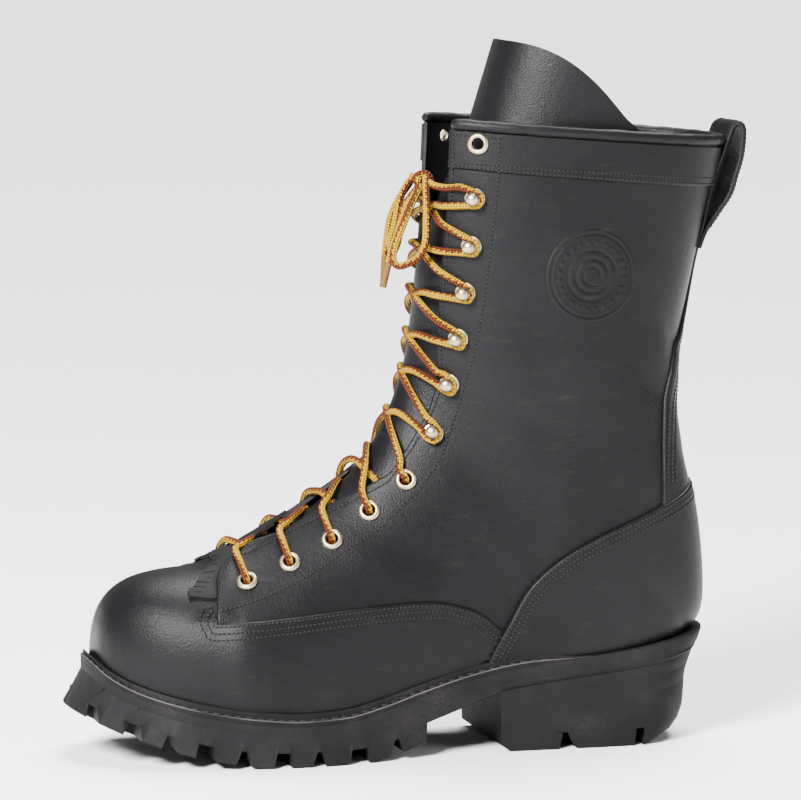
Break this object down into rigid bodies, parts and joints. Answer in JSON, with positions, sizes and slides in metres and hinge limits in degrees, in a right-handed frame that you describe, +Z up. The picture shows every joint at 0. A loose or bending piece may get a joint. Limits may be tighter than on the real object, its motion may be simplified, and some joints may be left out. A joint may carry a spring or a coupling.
{
  "type": "wildland fire boot",
  "caption": "Tall black leather lace-up wildland fire boot with a welted, lugged rubber sole, a raised heel, brass eyelets and ball hooks, a fringed kiltie and a back pull loop.",
  "frame": {"origin": "on the floor, under the middle of the boot's box without its free lace", "axes": "+X towards the toe, +Y towards the outer (left) side of this left boot, +Z up"},
  "size_m": [0.3374, 0.1132, 0.3338],
  "materials": {
    "black_leather": "black oiled full-grain leather with a soft sheen",
    "black_rubber": "matt black rubber",
    "insole_leather": "plain tan vegetable-tanned leather",
    "pale_brass": "pale polished brass",
    "lace": "round woven lace, yellow with red-brown flecks"
  },
  "bodies": {
    "root": {"midsole": "black_rubber", "outsole": "black_rubber", "heel": "black_rubber", "welt": "black_rubber", "insole": "insole_leather", "upper": "black_leather", "vamp_panel": "black_leather", "heel_counter": "black_leather", "backstay": "black_leather", "collar_band": "black_leather", "collar_binding": "black_leather", "tongue": "black_leather", "kiltie": "black_leather", "pull_loop": "black_leather", "eyelet_outer_1": "pale_brass", "eyelet_outer_2": "pale_brass", "eyelet_outer_3": "pale_brass", "eyelet_outer_4": "pale_brass", "eyelet_outer_5": "pale_brass", "eyelet_outer_6": "pale_brass", "eyelet_inner_1": "pale_brass", "eyelet_inner_2": "pale_brass", "eyelet_inner_3": "pale_brass", "eyelet_inner_4": "pale_brass", "eyelet_inner_5": "pale_brass", "eyelet_inner_6": "pale_brass", "hook_outer_1": "pale_brass", "hook_outer_2": "pale_brass", "hook_outer_3": "pale_brass", "hook_outer_4": "pale_brass", "hook_outer_5": "pale_brass", "hook_outer_6": "pale_brass", "hook_inner_1": "pale_brass", "hook_inner_2": "pale_brass", "hook_inner_3": "pale_brass", "hook_inner_4": "pale_brass", "hook_inner_5": "pale_brass", "hook_inner_6": "pale_brass", "lace_cross_1": "lace", "lace_cross_2": "lace", "lace_cross_3": "lace", "lace_cross_4": "lace", "lace_cross_5": "lace", "lace_cross_6": "lace", "lace_cross_7": "lace", "lace_cross_8": "lace", "lace_cross_9": "lace", "lace_cross_10": "lace", "lace_knot": "lace", "lace_loop_outer": "lace", "lace_loop_inner": "lace", "lace_end_outer": "lace", "lace_end_inner": "lace"}
  },
  "joints": []
}
